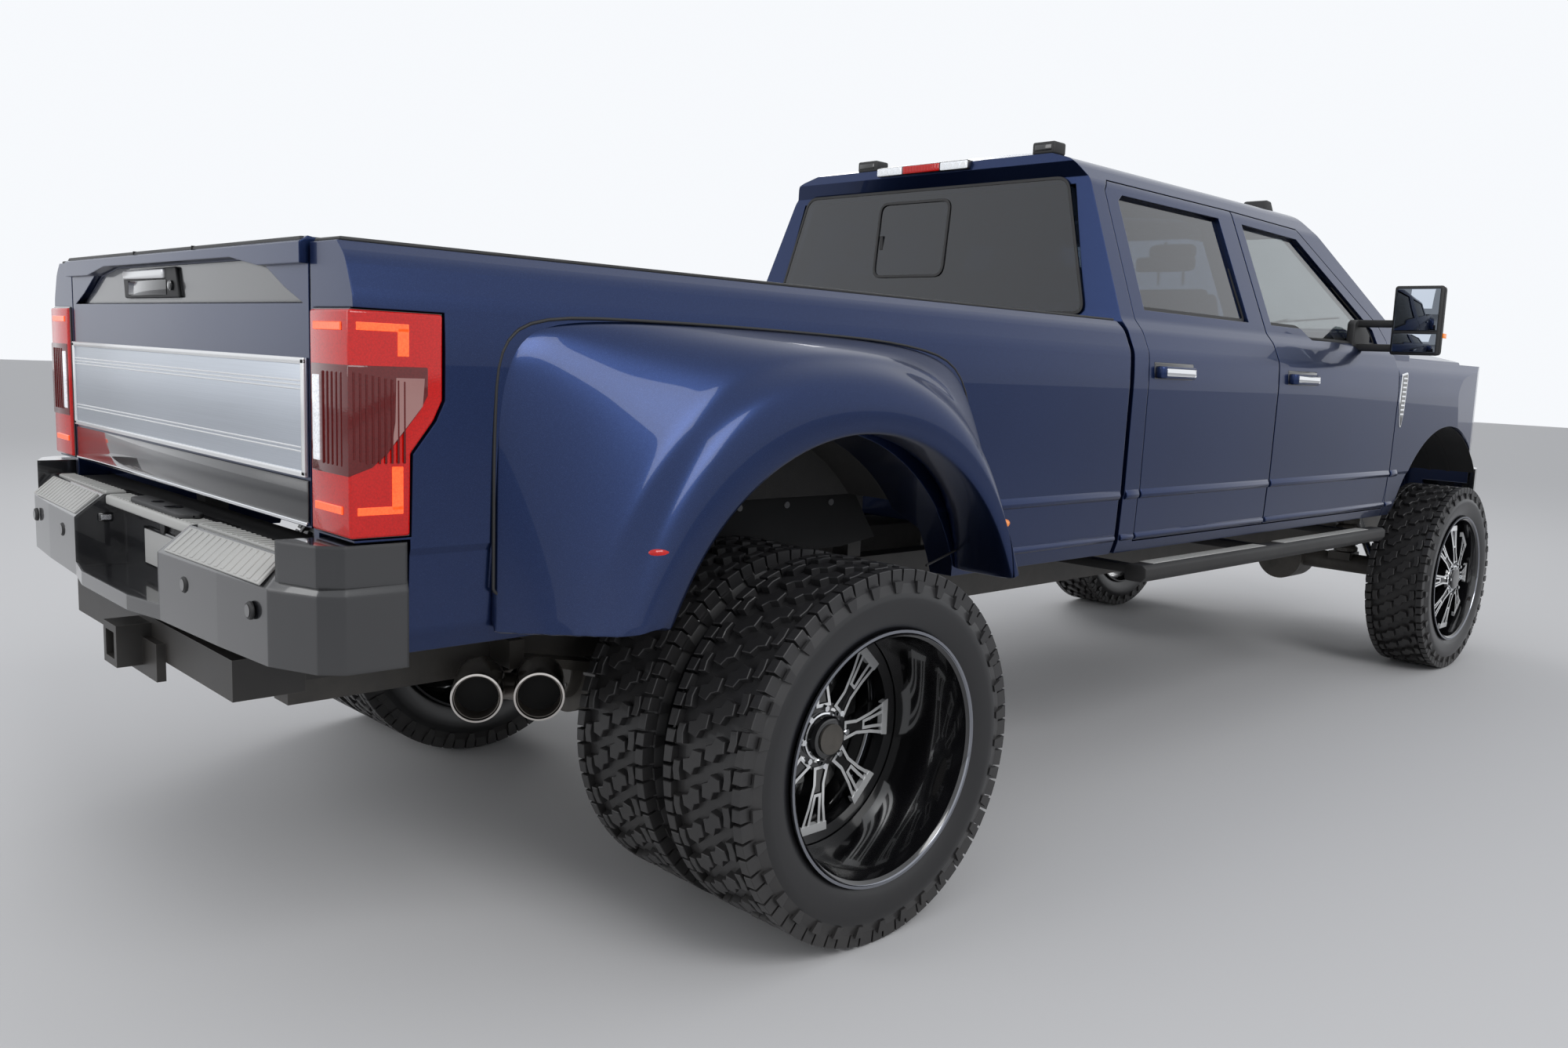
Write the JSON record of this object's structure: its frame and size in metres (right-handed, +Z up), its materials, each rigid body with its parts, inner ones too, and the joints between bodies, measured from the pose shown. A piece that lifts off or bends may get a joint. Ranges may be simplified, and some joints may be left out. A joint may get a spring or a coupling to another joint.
{
  "type": "crew-cab pickup truck",
  "caption": "Full-size crew-cab pickup with a long box, twin rear wheels under wide flares, tow mirrors and a drop-down tailgate.",
  "frame": {"origin": "on the ground, midway along and across the truck", "axes": "+X towards the truck's front, +Y to its left, +Z up"},
  "size_m": [6.77, 2.66, 2.232],
  "materials": {
    "paint": "gloss",
    "dark_paint": "gloss",
    "frame_black": "satin",
    "box_liner": "textured",
    "black_plastic": "matt",
    "wheel_black": "gloss",
    "tyre": "matt",
    "brushed": "brushed",
    "polished": "polished",
    "iron": "rough",
    "lamp_red": "gloss",
    "lamp_clear": "gloss",
    "glass_dark": "tinted",
    "glass_clear": "clear",
    "seat_leather": "satin"
  },
  "bodies": {
    "chassis": {"frame": "frame_black", "engine": "iron", "driveline": "iron", "fuel_tank": "black_plastic", "radiator": "iron", "rear_axle": "iron", "front_axle": "iron", "springs": "frame_black", "cab": "paint", "windshield": "glass_clear", "rear_window": "glass_dark", "front_fenders": "paint", "grille": "black_plastic", "headlamps": "lamp_clear", "front_bumper": "dark_paint", "cargo_box": "box_liner", "bedsides": "paint", "rear_flares": "paint", "tail_lamps": "lamp_red", "rear_bumper": "dark_paint", "hitch": "frame_black", "exhaust": "polished", "dashboard": "black_plastic", "steering_wheel": "black_plastic", "front_seats": "seat_leather", "rear_seat": "seat_leather", "side_steps": "black_plastic", "roof_lamps": "lamp_red"},
    "hood": {"hood": "paint"},
    "tailgate": {"tailgate": "paint", "tailgate_trim": "brushed"},
    "front_left_door": {"door_front_left": "paint", "glass_front_left": "glass_dark", "mirror_left": "black_plastic"},
    "front_right_door": {"door_front_right": "paint", "glass_front_right": "glass_dark", "mirror_right": "black_plastic"},
    "rear_left_door": {"door_rear_left": "paint", "glass_rear_left": "glass_dark"},
    "rear_right_door": {"door_rear_right": "paint", "glass_rear_right": "glass_dark"},
    "left_knuckle": {"knuckle_left": "iron"},
    "right_knuckle": {"knuckle_right": "iron"},
    "front_left_wheel": {"wheel_front_left": "wheel_black", "tyre_front_left": "tyre"},
    "front_right_wheel": {"wheel_front_right": "wheel_black", "tyre_front_right": "tyre"},
    "rear_left_wheel": {"wheel_rear_left": "wheel_black", "tyre_rear_left": "tyre"},
    "rear_right_wheel": {"wheel_rear_right": "wheel_black", "tyre_rear_right": "tyre"}
  },
  "joints": [
    {"name": "hood_hinge", "type": "hinge", "parent": "chassis", "child": "hood", "pos_m": [1.912, 0, 1.63], "axis": [0, -1, 0], "range_deg": [0, 48]},
    {"name": "tailgate_hinge", "type": "hinge", "parent": "chassis", "child": "tailgate", "pos_m": [-3.195, 0, 1.062], "axis": [0, -1, 0], "range_deg": [0, 90]},
    {"name": "front_left_door_hinge", "type": "hinge", "parent": "chassis", "child": "front_left_door", "pos_m": [1.643, 0.998, 1.2], "axis": [0, 0, -1], "range_deg": [0, 65]},
    {"name": "front_right_door_hinge", "type": "hinge", "parent": "chassis", "child": "front_right_door", "pos_m": [1.643, -0.998, 1.2], "axis": [0, 0, 1], "range_deg": [0, 65]},
    {"name": "rear_left_door_hinge", "type": "hinge", "parent": "chassis", "child": "rear_left_door", "pos_m": [0.41, 0.998, 1.2], "axis": [0, 0, -1], "range_deg": [0, 68]},
    {"name": "rear_right_door_hinge", "type": "hinge", "parent": "chassis", "child": "rear_right_door", "pos_m": [0.41, -0.998, 1.2], "axis": [0, 0, 1], "range_deg": [0, 68]},
    {"name": "left_steer", "type": "hinge", "parent": "chassis", "child": "left_knuckle", "pos_m": [2.415, 0.8, 0.468], "axis": [0, 0, 1], "range_deg": [-30, 30]},
    {"name": "right_steer", "type": "hinge", "parent": "chassis", "child": "right_knuckle", "pos_m": [2.415, -0.8, 0.468], "axis": [0, 0, 1], "range_deg": [-30, 30]},
    {"name": "front_left_spin", "type": "hinge", "parent": "left_knuckle", "child": "front_left_wheel", "pos_m": [2.415, 0.985, 0.468], "axis": [0, 1, 0], "continuous": true},
    {"name": "front_right_spin", "type": "hinge", "parent": "right_knuckle", "child": "front_right_wheel", "pos_m": [2.415, -0.985, 0.468], "axis": [0, 1, 0], "continuous": true},
    {"name": "rear_left_spin", "type": "hinge", "parent": "chassis", "child": "rear_left_wheel", "pos_m": [-2.055, 0.985, 0.468], "axis": [0, 1, 0], "continuous": true},
    {"name": "rear_right_spin", "type": "hinge", "parent": "chassis", "child": "rear_right_wheel", "pos_m": [-2.055, -0.985, 0.468], "axis": [0, 1, 0], "continuous": true}
  ],
  "couplings": [
    {"joint": "right_steer", "follows": "left_steer", "ratio": 1}
  ]
}
